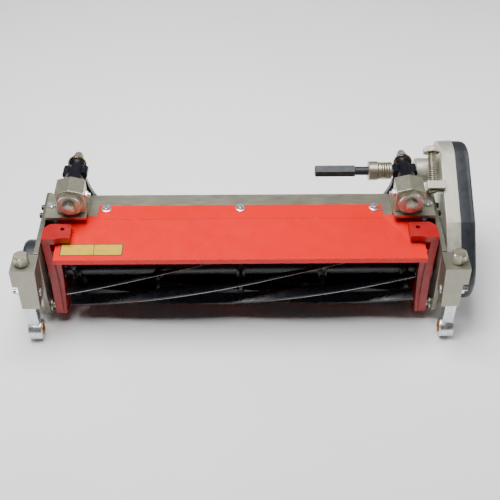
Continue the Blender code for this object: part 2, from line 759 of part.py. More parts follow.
def reel_cover():
    """The red sheet over the reel: a sloping top with a turned-down front lip and a narrower bolted strip."""
    thick = COVER_SHEET
    rear = CROSS_FRONT - GAP
    front_z, rear_z = CROSS_TOP - COVER_FALL, CROSS_TOP + GAP
    profile = [
        (COVER_FRONT, front_z - COVER_LIP),
        (COVER_FRONT + thick, front_z - COVER_LIP),
        (COVER_FRONT + thick, front_z),
        (rear, rear_z),
        (rear, rear_z + thick),
        (COVER_FRONT, front_z + thick),
    ]
    cover = prism("reel_cover", profile, "X", (-COVER_HALF_WIDTH, COVER_HALF_WIDTH), "red_paint")
    strip = box_outline((rear - 8, rear_z), (COVER_REAR, rear_z + thick))
    join_prism(cover, strip, "X", (-COVER_STRIP_HALF_WIDTH, COVER_STRIP_HALF_WIDTH))
    for x in COVER_BOLT_X:
        bore(cover, "Z", (x, COVER_BOLT_Y), (CROSS_TOP - PAST, CROSS_TOP + 2 * PAST), COVER_BOLT_RADIUS + GAP)


def cover_bolt(index, x):
    seat = CROSS_TOP + COVER_SHEET + 2 * GAP
    sections = [
        (CROSS_TOP - 12, COVER_BOLT_RADIUS, "round"),
        (seat, COVER_BOLT_RADIUS, "round"),
        (seat, 8.5, "round"),
        (seat + 1.6, 8.5, "round"),
        (seat + 1.6, 5.5, "hex"),
        (seat + 6.6, 5.5, "hex"),
    ]
    turned(f"cover_bolt_{index}", sections, "Z", (x, COVER_BOLT_Y), "zinc", BOLT_STEPS)


def make_cover():
    reel_cover()
    for index, x in enumerate(COVER_BOLT_X):
        cover_bolt(index + 1, x)


# ---- Drive ---------------------------------------------------------------------------------------------------


def case_back():
    """The cast back of the drive case: a dished plate with holes for both shafts and a tension lug."""
    back = prism("case_back", hull_of(CASE_CIRCLES), "X", (CASE_INNER, CASE_JOINT), "cast_aluminium")
    cut_prism(back, hull_of(CASE_CIRCLES, -CASE_WALL), "X", (CASE_INNER + CASE_WALL, CASE_JOINT + PAST))
    along_belt = Vector((math.cos(CASE_SLOPE), math.sin(CASE_SLOPE)))
    across_belt = Vector((-along_belt.y, along_belt.x))
    lug = []
    for a, b in box_outline((LUG_ALONG[0], LUG_ACROSS[0]), (LUG_ALONG[1], LUG_ACROSS[1])):
        lug.append(Vector(LUG_CENTRE) + along_belt * a + across_belt * b)
    join_prism(back, lug, "X", (LUG_X[0], CASE_INNER + 2))
    bore(back, "X", (0, 0), (CASE_INNER - PAST, CASE_JOINT), REEL_SHAFT_RADIUS)
    bore(back, "X", INPUT_AXIS, (CASE_INNER - PAST, CASE_JOINT), INPUT_SHAFT_RADIUS + GAP)
    profile = round_bar(LUG_ALONG[0] - PAST, LUG_ALONG[1] + PAST, TENSION_RADIUS + 2 * GAP)
    combine(back, laid_along_belt(turned("tool_lug_bore", profile, "Y", (0.0, 0.0), "steel")), "DIFFERENCE")


def laid_along_belt(bar):
    """Move a bar made along Y to the tension bolt's place, parallel to the line between the two shafts."""
    bar.rotation_euler = (CASE_SLOPE, 0.0, 0.0)
    bar.location = (Vector((TENSION_X, *LUG_CENTRE)) - ORIGIN) * MM
    return bar


def case_cover():
    """The black outer cover, hollow towards the belt."""
    cover = prism("case_cover", hull_of(CASE_CIRCLES, -0.5), "X", (CASE_JOINT + GAP, CASE_OUTER), "black_cover")
    cut_prism(cover, hull_of(CASE_CIRCLES, -0.5 - CASE_WALL), "X", (CASE_JOINT - PAST, CASE_OUTER - CASE_WALL))
    bevel = cover.modifiers.new("edge", "BEVEL")
    bevel.width = CASE_EDGE * MM
    bevel.segments = 2
    bevel.limit_method = "ANGLE"
    bevel.angle_limit = math.radians(60)
    cover.modifiers.move(1, 0)


def bearing_cap():
    """The round cap on the cover's outside, over the end of the reel's shaft."""
    start = CASE_OUTER + GAP
    sections = [(start, 20.0, "round"), (start + 4, 20.0, "round"), (start + 7, 16.0, "round")]
    turned("bearing_cap", sections, "X", (0, 0), "black_cover", 32)


def tension_bolt():
    """The bolt through the case's lug that sets the belt's tension."""
    sections = [
        (LUG_ALONG[0] - 4, TENSION_RADIUS, "round"),
        (TENSION_REACH, TENSION_RADIUS, "round"),
        (TENSION_REACH, TENSION_HEAD, "hex"),
        (TENSION_REACH + 9, TENSION_HEAD, "hex"),
    ]
    laid_along_belt(turned("tension_bolt", sections, "Y", (0.0, 0.0), "nickel_plate", BOLT_STEPS))


def input_housing():
    """The tube bolted to the case's back that carries the input shaft."""
    inner = INPUT_SHAFT_RADIUS + GAP
    sections = [
        (HOUSING_LEFT, HOUSING_RADIUS - 2, "round"),
        (HOUSING_LEFT + 2, HOUSING_RADIUS, "round"),
        (CASE_INNER - 8, HOUSING_RADIUS, "round"),
        (CASE_INNER - GAP, HOUSING_FLANGE, "round"),
        (CASE_INNER - GAP, inner, "round"),
        (HOUSING_LEFT, inner, "round"),
    ]
    turned("input_housing", sections, "X", INPUT_AXIS, "cast_aluminium", 24, bored=True)


def drive_belt():
    """The toothed belt around both pulleys, drawn as a plain loop."""
    circles = ((0.0, 0.0, REEL_PULLEY_RADIUS), (*INPUT_AXIS, INPUT_PULLEY_RADIUS))
    inner = belt_loop(circles, GAP)
    outer = belt_loop(circles, GAP + BELT_THICKNESS)
    rings = []
    for outline, x in ((outer, BELT_X[0]), (outer, BELT_X[1]), (inner, BELT_X[1]), (inner, BELT_X[0])):
        rings.append([Vector((x, y, z)) for y, z in outline])
    bm = bmesh.new()
    skin(bm, rings, bored=True)
    solid("drive_belt", bm, "rubber")


def belt_loop(circles, grow, steps=24):
    """Half a turn round each pulley, from tangent to tangent, at matching angles for every grow."""
    (y1, z1, r1), (y2, z2, r2) = circles
    distance = math.dist((y1, z1), (y2, z2))
    heading = math.atan2(z2 - z1, y2 - y1)
    lean = math.acos((r1 - r2) / distance)
    points = []
    for i in range(steps + 1):
        angle = heading + lean + (2 * math.pi - 2 * lean) * i / steps
        points.append((y1 + (r1 + grow) * math.cos(angle), z1 + (r1 + grow) * math.sin(angle)))
    for i in range(steps + 1):
        angle = heading - lean + 2 * lean * i / steps
        points.append((y2 + (r2 + grow) * math.cos(angle), z2 + (r2 + grow) * math.sin(angle)))
    return points


def input_shaft():
    """The driven shaft: a sleeve that takes the hex drive shaft, then a plain shaft through the housing."""
    socket = HEX_NECK + GAP
    sections = [
        (SLEEVE_LEFT, SLEEVE_RADIUS, "round"),
        (SLEEVE_RIGHT, SLEEVE_RADIUS, "round"),
        (SLEEVE_RIGHT, SPRING_CORE, "round"),
        (SPRING_RIGHT + GAP, SPRING_CORE, "round"),
        (SPRING_RIGHT + GAP, INPUT_SHAFT_RADIUS, "round"),
        (BELT_X[1] + 6, INPUT_SHAFT_RADIUS, "round"),
        (BELT_X[1] + 6, 3.0, "round"),
        (SLEEVE_RIGHT + 25, 3.0, "round"),
        (SLEEVE_RIGHT + 25, socket, "round"),
        (SLEEVE_LEFT, socket, "round"),
    ]
    turned("input_shaft", sections, "X", INPUT_AXIS, "steel", 24, bored=True)
    pulley("input_pulley", INPUT_AXIS, INPUT_PULLEY_RADIUS, INPUT_SHAFT_RADIUS)
    span = (SLEEVE_RIGHT + GAP, SPRING_RIGHT - GAP)
    coil("drive_spring", "X", INPUT_AXIS, span, radius=SPRING_CORE + 3.4, wire=2.0, turns=6, kind="steel")


def hex_shaft():
    """The black hexagonal drive shaft, whose round neck slides in the sleeve."""
    sections = [
        (HEX_LEFT, HEX_FLATS - 1, "round"),
        (HEX_LEFT + 1, HEX_FLATS, "hex"),
        (HEX_RIGHT, HEX_FLATS, "hex"),
        (HEX_RIGHT, HEX_NECK, "round"),
        (SLEEVE_RIGHT, HEX_NECK, "round"),
    ]
    turned("hex_shaft", sections, "X", INPUT_AXIS, "black_steel")


def make_drive():
    case_back()
    case_cover()
    bearing_cap()
    tension_bolt()
    input_housing()
    drive_belt()
    input_shaft()
    hex_shaft()


def main():
    clear_scene()
    make_reel()
    make_frame()
    for label, side in SIDES:
        roller_bracket(label, side)
        height_screw(label, side)
    make_bed()
    make_adjusters()
    make_cover()
    make_drive()


main()
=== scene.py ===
"""The looks of the reel mower cutting unit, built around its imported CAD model.

Pieces are made in the reel frame: millimetres from the middle of the reel's axis, X along the reel to the
drive side, +Y to the rear, +Z up. ORIGIN is the part's origin in that frame, and MM turns millimetres into
metres.
"""

import math

import bmesh
import bpy
from mathutils import Matrix, Vector


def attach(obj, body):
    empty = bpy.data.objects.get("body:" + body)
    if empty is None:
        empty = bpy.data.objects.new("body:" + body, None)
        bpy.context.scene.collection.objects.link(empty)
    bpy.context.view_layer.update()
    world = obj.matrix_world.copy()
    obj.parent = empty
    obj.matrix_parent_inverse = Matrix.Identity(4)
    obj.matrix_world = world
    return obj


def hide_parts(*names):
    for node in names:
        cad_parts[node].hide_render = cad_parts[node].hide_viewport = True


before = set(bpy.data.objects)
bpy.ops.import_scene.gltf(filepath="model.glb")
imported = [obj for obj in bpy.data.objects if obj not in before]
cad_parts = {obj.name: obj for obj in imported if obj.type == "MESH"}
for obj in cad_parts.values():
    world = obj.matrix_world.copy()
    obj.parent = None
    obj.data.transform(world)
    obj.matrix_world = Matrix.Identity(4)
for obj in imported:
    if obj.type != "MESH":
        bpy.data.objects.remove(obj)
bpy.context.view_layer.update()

MM = 0.001
ORIGIN = Vector((14.15, 42.0, -81.0))
TO_WORLD = Matrix.Scale(MM, 4) @ Matrix.Translation(-ORIGIN)
SIDES = (("left", -1), ("right", 1))

# ---- Materials -------------------------------------------------------------------------------------------


class Shader:
    """A Principled material with short calls for the nodes that its finish needs. Coordinates are metres."""

    def __init__(self, name, colour, roughness, metallic=0.0):
        self.material = bpy.data.materials.new(name)
        self.material.use_nodes = True
        self.tree = self.material.node_tree
        self.main = self.tree.nodes["Principled BSDF"]
        self.main.inputs["Base Color"].default_value = (*colour, 1)
        self.main.inputs["Roughness"].default_value = roughness
        self.main.inputs["Metallic"].default_value = metallic
        self.place = self.node("ShaderNodeTexCoord").outputs["Object"]
        self.colour = None
        self.bumps = None

    def node(self, kind, **values):
        made = self.tree.nodes.new(kind)
        for name, value in values.items():
            setattr(made, name, value)
        return made

    def link(self, source, target):
        self.tree.links.new(source, target)

    def stretched(self, scale):
        mapping = self.node("ShaderNodeMapping")
        mapping.inputs["Scale"].default_value = scale
        self.link(self.place, mapping.inputs["Vector"])
        return mapping.outputs["Vector"]

    def noise(self, scale, detail=4.0, stretch=None, roughness=0.55):
        made = self.node("ShaderNodeTexNoise")
        made.inputs["Scale"].default_value = scale
        made.inputs["Detail"].default_value = detail
        made.inputs["Roughness"].default_value = roughness
        self.link(self.stretched(stretch) if stretch else self.place, made.inputs["Vector"])
        return made.outputs["Fac"]

    def spread(self, value, low, high, to_low, to_high):
        made = self.node("ShaderNodeMapRange")
        for key, number in (("From Min", low), ("From Max", high), ("To Min", to_low), ("To Max", to_high)):
            made.inputs[key].default_value = number
        self.link(value, made.inputs["Value"])
        return made.outputs["Result"]

    def tint(self, amount, colour):
        """Mixes a colour over the base where amount is high."""
        made = self.node("ShaderNodeMix", data_type="RGBA")
        self.link(amount, made.inputs["Factor"])
        if self.colour:
            self.link(self.colour, made.inputs["A"])
        else:
            made.inputs["A"].default_value = self.main.inputs["Base Color"].default_value
        made.inputs["B"].default_value = (*colour, 1)
        self.colour = made.outputs["Result"]
        self.link(self.colour, self.main.inputs["Base Color"])

    def roughen(self, value, low, high, smooth, rough):
        self.link(self.spread(value, low, high, smooth, rough), self.main.inputs["Roughness"])

    def bump(self, height, depth, strength=1.0):
        made = self.node("ShaderNodeBump")
        made.inputs["Distance"].default_value = depth * MM
        made.inputs["Strength"].default_value = strength
        self.link(height, made.inputs["Height"])
        if self.bumps:
            self.link(self.bumps, made.inputs["Normal"])
        self.bumps = made.outputs["Normal"]
        self.link(self.bumps, self.main.inputs["Normal"])

    def coat(self, weight, roughness):
        self.main.inputs["Coat Weight"].default_value = weight
        self.main.inputs["Coat Roughness"].default_value = roughness

    def radius(self):
        """Distance from the reel's axis."""
        shift = self.node("ShaderNodeVectorMath", operation="SUBTRACT")
        shift.inputs[1].default_value = tuple(-ORIGIN * MM)
        self.link(self.place, shift.inputs[0])
        flat = self.node("ShaderNodeVectorMath", operation="MULTIPLY")
        flat.inputs[1].default_value = (0, 1, 1)
        self.link(shift.outputs["Vector"], flat.inputs[0])
        length = self.node("ShaderNodeVectorMath", operation="LENGTH")
        self.link(flat.outputs["Vector"], length.inputs[0])
        return length.outputs["Value"]


def red_enamel():
    s = Shader("red_enamel", (0.74, 0.003, 0.003), 0.3)
    s.tint(s.spread(s.noise(9, 3), 0.35, 0.75, 0, 0.5), (0.68, 0.002, 0.003))
    s.roughen(s.noise(38, 5), 0.3, 0.7, 0.22, 0.4)
    s.bump(s.noise(260, 2), 0.03, 0.4)
    s.main.inputs["Specular IOR Level"].default_value = 0.22
    s.coat(0.25, 0.08)
    return s.material


# The arms' red enamel, made darker than the cover's red as painted shade for the arms' dim faces; the darker
# spots over it are the casting's own tone and pits.
def cast_red_shaded():
    s = Shader("cast_red_enamel_painted_shade", (0.36, 0.002, 0.004), 0.4)
    s.tint(s.spread(s.noise(30, 4), 0.4, 0.75, 0, 0.6), (0.27, 0.002, 0.003))
    s.tint(s.spread(s.noise(480, 3), 0.66, 0.72, 0, 0.6), (0.22, 0.002, 0.003))
    s.roughen(s.noise(60, 5), 0.3, 0.7, 0.26, 0.46)
    s.bump(s.noise(330, 5), 0.22, 0.7)
    s.coat(0.2, 0.15)
    return s.material


def nickel(name="nickel_plate", shade=(0.44, 0.42, 0.325), stretch=(4, 90, 90), streak=0.35):
    s = Shader(name, shade, 0.36, 0.88)
    s.tint(s.spread(s.noise(16, 6), 0.42, 0.68, 0, 0.7), tuple(c * 0.72 for c in shade))
    s.tint(s.spread(s.noise(75, 5, roughness=0.7), 0.60, 0.72, 0, 0.35), (0.24, 0.20, 0.12))
    s.tint(s.spread(s.noise(7, 3, stretch), 0.5, 0.72, 0, streak), (0.55, 0.53, 0.44))
    s.roughen(s.noise(8, 4, stretch), 0.3, 0.7, 0.28, 0.50)
    s.bump(s.noise(7, 3, tuple(c * 1.6 for c in stretch)), 0.03, 0.5)
    return s.material


def cast_silver():
    s = Shader("cast_silver", (0.56, 0.55, 0.465), 0.42, 0.7)
    s.tint(s.spread(s.noise(22, 5), 0.42, 0.75, 0, 0.5), (0.40, 0.385, 0.31))
    s.roughen(s.noise(90, 4), 0.3, 0.7, 0.38, 0.56)
    s.bump(s.noise(1100, 3), 0.09, 0.7)
    s.bump(s.noise(60, 3), 0.15, 0.35)
    return s.material


def bright_zinc():
    s = Shader("bright_zinc", (0.74, 0.77, 0.79), 0.3, 0.9)
    s.tint(s.spread(s.noise(120, 5), 0.45, 0.7, 0, 0.5), (0.50, 0.52, 0.54))
    s.roughen(s.noise(200, 4), 0.3, 0.7, 0.22, 0.42)
    s.bump(s.noise(500, 3), 0.03, 0.5)
    return s.material


def turned_steel():
    s = Shader("turned_steel", (0.50, 0.50, 0.49), 0.3, 1.0)
    s.tint(s.spread(s.noise(45, 5), 0.45, 0.72, 0, 0.7), (0.27, 0.26, 0.24))
    s.roughen(s.noise(120, 4), 0.3, 0.7, 0.22, 0.42)
    s.bump(s.noise(6, 2, (260, 30, 30)), 0.02, 0.5)
    return s.material


def black_paint():
    s = Shader("black_paint", (0.005, 0.0055, 0.009), 0.34)
    s.tint(s.spread(s.noise(40, 5), 0.45, 0.75, 0, 0.7), (0.010, 0.0105, 0.014))
    s.roughen(s.noise(70, 5), 0.3, 0.7, 0.2, 0.42)
    s.bump(s.noise(300, 3), 0.06, 0.5)
    return s.material


def blade_finish():
    """Black paint, ground bright along the cutting edge, where the paint has worn off."""
    s = Shader("blade_finish", (0.004, 0.0045, 0.010), 0.3)
    s.tint(s.spread(s.noise(45, 5), 0.45, 0.75, 0, 0.6), (0.010, 0.011, 0.018))
    edge = s.spread(s.radius(), 0.06284, 0.06292, 0, 1)
    s.tint(edge, (0.42, 0.41, 0.38))
    s.link(edge, s.main.inputs["Metallic"])
    s.roughen(s.noise(80, 5), 0.3, 0.7, 0.2, 0.38)
    s.bump(s.noise(300, 3), 0.05, 0.5)
    return s.material


def black_cover():
    s = Shader("satin_black", (0.014, 0.0165, 0.022), 0.42)
    s.tint(s.spread(s.noise(26, 4), 0.42, 0.75, 0, 0.7), (0.022, 0.0245, 0.031))
    s.roughen(s.noise(140, 4), 0.3, 0.7, 0.36, 0.54)
    s.bump(s.noise(1500, 2), 0.05, 0.6)
    return s.material


def plain_finish(name, colour, roughness, metallic, grain):
    s = Shader(name, colour, roughness, metallic)
    s.tint(s.spread(s.noise(grain / 8, 5), 0.42, 0.72, 0, 0.5), tuple(c * 0.66 for c in colour))
    s.roughen(s.noise(grain / 3, 4), 0.3, 0.7, roughness * 0.8, roughness * 1.25)
    s.bump(s.noise(grain, 3), 0.03, 0.5)
    return s.material


RED = red_enamel()
CAST_RED_SHADED = cast_red_shaded()
NICKEL = nickel()
# A darker copy of the nickel plating for the upright side plates and front blocks, as painted shade.
NICKEL_UPRIGHT_SHADED = nickel("nickel_upright_painted_shade", (0.30, 0.29, 0.235), (60, 60, 9), 0.12)
POLISHED = plain_finish("polished_nickel", (0.46, 0.43, 0.36), 0.36, 1.0, 2400)
CAST = cast_silver()
ZINC = bright_zinc()
STEEL = turned_steel()
BLACK = black_paint()
BLADE = blade_finish()
COVER = black_cover()
BRASS = plain_finish("brass", (0.78, 0.50, 0.16), 0.26, 1.0, 500)
RUBBER = plain_finish("belt_rubber", (0.022, 0.022, 0.024), 0.7, 0.0, 700)
YELLOW = plain_finish("yellow_print", (0.60, 0.36, 0.0), 0.7, 0.0, 900)
INK = plain_finish("dark_print", (0.03, 0.03, 0.03), 0.5, 0.0, 900)

# ---- Making pieces ---------------------------------------------------------------------------------------


def shape_up(obj, bevel, segments=2, angle=28):
    """Rounds the edges of a piece and shades it smooth across its curves."""
    if bevel:
        edge = obj.modifiers.new("edge", "BEVEL")
        edge.width = bevel * MM
        edge.segments = segments
        edge.limit_method = "ANGLE"
        edge.angle_limit = math.radians(angle)
        edge.harden_normals = True
    obj.data.shade_smooth()
    obj.data.set_sharp_from_angle(angle=math.radians(angle + 14 if bevel else 38))


def piece(name, bm, material, body, nodes=(), bevel=0.0, segments=2, angle=28):
    """A piece from a bmesh in reel-frame millimetres. It rides on a body and stands for the nodes named."""
    bmesh.ops.recalc_face_normals(bm, faces=bm.faces)
    bm.transform(TO_WORLD)
    mesh = bpy.data.meshes.new(name)
    bm.to_mesh(mesh)
    bm.free()
    obj = bpy.data.objects.new(name, mesh)
    bpy.context.scene.collection.objects.link(obj)
    mesh.materials.append(material)
    shape_up(obj, bevel, segments, angle)
    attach(obj, body)
    if nodes:
        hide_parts(*nodes)
    return obj


def refined(node, material, body, bevel, segments=2, angle=28):
    """A copy of a CAD node with merged flat faces and rounded edges, which stands for it."""
    bm = bmesh.new()
    bm.from_mesh(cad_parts[node].data)
    bmesh.ops.remove_doubles(bm, verts=bm.verts, dist=1e-6)
    bmesh.ops.dissolve_limit(bm, angle_limit=math.radians(0.6), verts=bm.verts, edges=bm.edges)
    bm.transform(TO_WORLD.inverted())
    return piece(f"{node}_finished", bm, material, body, (node,), bevel, segments, angle)


def along(axis, first, second, distance):
    if axis == "X":
        return Vector((distance, first, second))
    if axis == "Y":
        return Vector((first, distance, second))
    return Vector((first, second, distance))


def loft(bm, rings, bored=False):
    """Faces between rings of equally many points, with two end faces, or joined last to first when bored."""
    rows = [[bm.verts.new(p) for p in ring] for ring in rings]
    pairs = list(zip(rows, rows[1:]))
    if bored:
        pairs.append((rows[-1], rows[0]))
    else:
        bm.faces.new(rows[0])
        bm.faces.new(rows[-1])
    for low, high in pairs:
        for i in range(len(low)):
            j = (i + 1) % len(low)
            bm.faces.new((low[i], low[j], high[j], high[i]))


def ring_of(radius, shape, steps):
    """Points of a round, hexagonal (radius is half the flats) or knurled section."""
    points = []
    for i in range(steps):
        angle = 2 * math.pi * i / steps
        reach = radius
        if shape == "hex":
            reach = radius / math.cos((angle + math.pi / 6) % (math.pi / 3) - math.pi / 6)
        elif shape == "knurl":
            reach = radius - (0.0, 0.35, 1.5, 0.35)[i % 4]
        points.append((reach * math.cos(angle), reach * math.sin(angle)))
    return points


def turned(bm, sections, axis, centre, steps=48, bored=False, tilt=None):
    """A turned solid. Each section is (distance along the axis, radius, shape)."""
    rings = []
    for distance, radius, shape in sections:
        ring = ring_of(radius, shape, steps)
        rings.append([along(axis, a + centre[0], b + centre[1], distance) for a, b in ring])
    if tilt:
        rings = [[tilt @ p for p in ring] for ring in rings]
    loft(bm, rings, bored)


def rounds(*ends):
    """Round sections from pairs of distance and radius."""
    return [(distance, radius, "round") for distance, radius in ends]


def bar(low, high, radius):
    return rounds((low, radius), (high, radius))


def thread(low, high, radius, pitch=1.5, depth=0.55):
    """The crests and roots of a screw thread as grooves."""
    count = max(1, round((high - low) / pitch))
    step = (high - low) / count
    sections = []
    for i in range(count):
        start = low + i * step
        sections += [(start, radius - depth, "round"), (start + step * 0.42, radius, "round")]
        sections += [(start + step * 0.58, radius, "round")]
    return [*sections, (high, radius - depth, "round")]


def hex_head(low, high, flats, chamfer=0.9):
    """A hexagonal head or nut between two distances, chamfered at its far end."""
    way = 1 if high > low else -1
    return [
        (low, flats, "round"),
        (low + 0.3 * way, flats, "hex"),
        (high - chamfer * way, flats, "hex"),
        (high, flats * 0.93, "round"),
    ]


def prism(bm, outline, axis, span):
    loft(bm, [[along(axis, a, b, end) for a, b in outline] for end in span])


def hull_of(circles, grow=0.0, steps=120):
    outline = []
    for i in range(steps):
        angle = 2 * math.pi * i / steps
        across, up = math.cos(angle), math.sin(angle)
        a, b, r = max(circles, key=lambda c: c[0] * across + c[1] * up + c[2])
        outline.append((a + (r + grow) * across, b + (r + grow) * up))
    return outline


def wire_tube(bm, path, radius, sides=12):
    """A round wire along a path, with closed ends."""
    rings = []
    for i, point in enumerate(path):
        ahead = path[min(i + 1, len(path) - 1)] - path[max(i - 1, 0)]
        ahead.normalize()
        across = ahead.cross(Vector((0.31, 0.87, 0.38))).normalized()
        up = ahead.cross(across)
        turn = [2 * math.pi * k / sides for k in range(sides)]
        rings.append([point + (across * math.cos(t) + up * math.sin(t)) * radius for t in turn])
    loft(bm, rings)


def helix(axis, centre, span, radius, wire, turns, per_turn=28):
    """The path of a coil spring with a closed, flattened turn at each end."""
    low, high = span[0] + wire, span[1] - wire
    steps = int(turns * per_turn)
    path = []
    for i in range(steps + 1):
        share = i / steps
        rise = min(max((share * turns - 0.8) / (turns - 1.6), 0), 1)
        angle = 2 * math.pi * turns * share
        distance = low + (high - low) * rise
        path.append(
            along(axis, centre[0] + radius * math.cos(angle), centre[1] + radius * math.sin(angle), distance)
        )
    return path


def lathe(
    name, sections, axis, centre, material, body, nodes=(), steps=64, bored=False, bevel=0.0, tilt=None
):
    """A turned piece."""
    bm = bmesh.new()
    turned(bm, sections, axis, centre, steps, bored, tilt)
    return piece(name, bm, material, body, nodes, bevel)


def flip(side, sections):
    """Sections along X for one side of the machine."""
    return [(side * x, r, shape) for x, r, shape in sections]


# ---- Reel ------------------------------------------------------------------------------------------------

REEL_LENGTH = 558.0
BLADES = 8
TWIST = math.radians(-117)
BLADE_ROOT = 44.9
BLADE_TIP = 62.95
BLADE_HALF = 1.6
BLADE_STATIONS = 84
SPIDERS = 5
SPIDER_PITCH = 134.0
SPIDER_BORE = 14.3
SPIDER_HALF = 2.6
SPIDER_STEPS = 192
HUB_RADIUS = 20.0
HUB_HALF = 7.0
WELD_AT = 44.4
WELD_RADIUS = 1.5

# A blade's section as (distance from the axis, share of the half thickness), ground behind its edge.
BLADE_SECTION = (
    (BLADE_ROOT, -1),
    (BLADE_ROOT, 1),
    (BLADE_TIP - 0.1, 1),
    (BLADE_TIP, 0.9),
    (BLADE_TIP, 0.5),
    (BLADE_TIP - 1.4, -1),
)


def blade_angle(index, x):
    return 2 * math.pi * index / BLADES + TWIST * (x / REEL_LENGTH + 0.5)


def make_blades():
    """Flat bars on edge wound about the axis."""
    for index in range(BLADES):
        rings = []
        for i in range(BLADE_STATIONS + 1):
            x = REEL_LENGTH * (i / BLADE_STATIONS - 0.5)
            angle = blade_angle(index, x)
            out = Vector((0, math.cos(angle), math.sin(angle)))
            side = Vector((0, -math.sin(angle), math.cos(angle)))
            middle = Vector((x, 0, 0))
            rings.append([middle + out * r + side * (w * BLADE_HALF) for r, w in BLADE_SECTION])
        bm = bmesh.new()
        loft(bm, rings)
        piece(f"blade_{index + 1}_ground", bm, BLADE, "reel", (f"reel_blade_{index + 1}",))


def spider_outlines(x):
    """The disc's outer edge, which dips between the blades, and its bore, as (Y, Z)."""
    start = blade_angle(0, x)
    outer, inner = [], []
    for i in range(SPIDER_STEPS):
        angle = 2 * math.pi * i / SPIDER_STEPS
        wave = 0.5 + 0.5 * math.cos(BLADES * (angle - start))
        reach = 35.5 + 9.1 * wave**0.7
        outer.append((reach * math.cos(angle), reach * math.sin(angle)))
        inner.append((SPIDER_BORE * math.cos(angle), SPIDER_BORE * math.sin(angle)))
    return outer, inner


def weld_beads(bm, x):
    """A bead of weld along each side of every blade where it meets the disc."""
    slant = TWIST / REEL_LENGTH * WELD_AT
    for blade in range(BLADES):
        for way in (-1, 1):
            angle = blade_angle(blade, x) + way * 0.055
            across, up = math.cos(angle), math.sin(angle)
            at = Vector((x, WELD_AT * across, WELD_AT * up))
            ahead = Vector((1, -up * slant, across * slant))
            wire_tube(bm, [at + ahead * t for t in (-5.5, -5, -2, 2, 5, 5.5)], WELD_RADIUS, 8)


def make_spiders():
    """Pressed discs that carry the blades, each with a hub and its welds."""
    for index in range(SPIDERS):
        x = (index - (SPIDERS - 1) / 2) * SPIDER_PITCH
        name = f"spider_{index + 1}"
        outer, inner = spider_outlines(x)
        ends = ((outer, -SPIDER_HALF), (outer, SPIDER_HALF), (inner, SPIDER_HALF), (inner, -SPIDER_HALF))
        bm = bmesh.new()
        loft(bm, [[Vector((x + shift, y, z)) for y, z in ring] for ring, shift in ends], bored=True)
        piece(f"{name}_pressed", bm, BLACK, "reel", (f"reel_{name}",), 0.5, 1, 50)
        hub = bar(x - HUB_HALF, x + HUB_HALF, HUB_RADIUS)
        hub += rounds((x + HUB_HALF, SPIDER_BORE), (x - HUB_HALF, SPIDER_BORE))
        bm = bmesh.new()
        turned(bm, hub, "X", (0, 0), 64, True)
        piece(f"{name}_hub", bm, BLACK, "reel", (), 0.8)
        bm = bmesh.new()
        weld_beads(bm, x)
        piece(f"{name}_welds", bm, BLACK, "reel", (), 0.0)


make_blades()
make_spiders()
shaft = rounds(
    (-325, 10.2), (-324, 11), (-301, 11), (-301, 13.4), (-300.4, 14),
    (300.4, 14), (301, 13.4), (301, 11), (367, 11), (368, 10.2),
)
lathe("reel_shaft_turned", shaft, "X", (0, 0), BLACK, "reel", ("reel_shaft",))

# ---- Frame and roller brackets ---------------------------------------------------------------------------

STEM_Y = -79.0
STEM_X = (326.0, 344.0)
SCREW_X = 335.0
HEAD_Z = (26.5, 44.0)
HEAD_BORE = 4.3
CLAMP = (STEM_Y, 22.0)
EYE = (STEM_Y, -64.0)
PIVOT = (-40.0, -47.0)
ROD = (303.0, 40.0)
PLATE_SCREWS = ((40.0, 77.5), (60.0, 77.5))

# The stem in (Y, Z), open at its top where the clamp slot runs up to the head.
STEM_FORK = [
    (-86, -52), (-72, -52), (-69, -30), (-69, HEAD_Z[0]), (-74.5, HEAD_Z[0]),
    (-74.5, -8), (-83.5, -8), (-83.5, HEAD_Z[0]), (-89, HEAD_Z[0]), (-89, -30),
]


def bracket_head(label, side):
    """The stem's top block, bored for the height screw."""
    half_x, half_y = 9.0, 10.0
    corner = math.atan2(half_y, half_x)
    half = [0, corner / 2, corner, (corner + math.pi / 2) / 2, math.pi / 2]
    half += [math.pi - angle for angle in half[3:0:-1]]
    turns = [*half, *(angle + math.pi for angle in half)]
    outer = []
    for angle in turns:
        to_x = half_x / max(abs(math.cos(angle)), 1e-6)
        to_y = half_y / max(abs(math.sin(angle)), 1e-6)
        outer.append(min(to_x, to_y))
    inner = [HEAD_BORE] * len(turns)
    rings = []
    for z, reaches in ((HEAD_Z[0], outer), (HEAD_Z[1], outer), (HEAD_Z[1], inner), (HEAD_Z[0], inner)):
        ring = []
        for angle, reach in zip(turns, reaches):
            across, back = reach * math.cos(angle), reach * math.sin(angle)
            ring.append(Vector((side * SCREW_X + across, STEM_Y + back, z)))
        rings.append(ring)
    bm = bmesh.new()
    loft(bm, rings, bored=True)
    piece(f"bracket_head_{label}", bm, ZINC, f"bracket_{label}", (), 0.6, 2, 50)


def make_bracket(label, side):
    """The slotted stem, its bored head, and the rounded eye at its foot with a brass bush."""
    body = f"bracket_{label}"
    bm = bmesh.new()
    prism(bm, STEM_FORK, "X", (side * STEM_X[0], side * STEM_X[1]))
    node = f"roller_bracket_{label}"
    piece(f"bracket_stem_{label}", bm, ZINC, body, (node,), 1.2, 3, 50)
    bracket_head(label, side)
    eye = rounds(
        (323, 15.4), (323.5, 16.5), (324.6, 17), (343.4, 17), (344.5, 16.5), (345, 15.4), (345, 11), (323, 11)
    )
    lathe(f"bracket_eye_{label}", flip(side, eye), "X", EYE, ZINC, body, (), 96, True)
    bush = flip(side, rounds((322.6, 10.9), (345.4, 10.9), (345.4, 9.3), (322.6, 9.3)))
    lathe(f"eye_bush_{label}", bush, "X", EYE, BRASS, body, (), 64, True, 0.25)


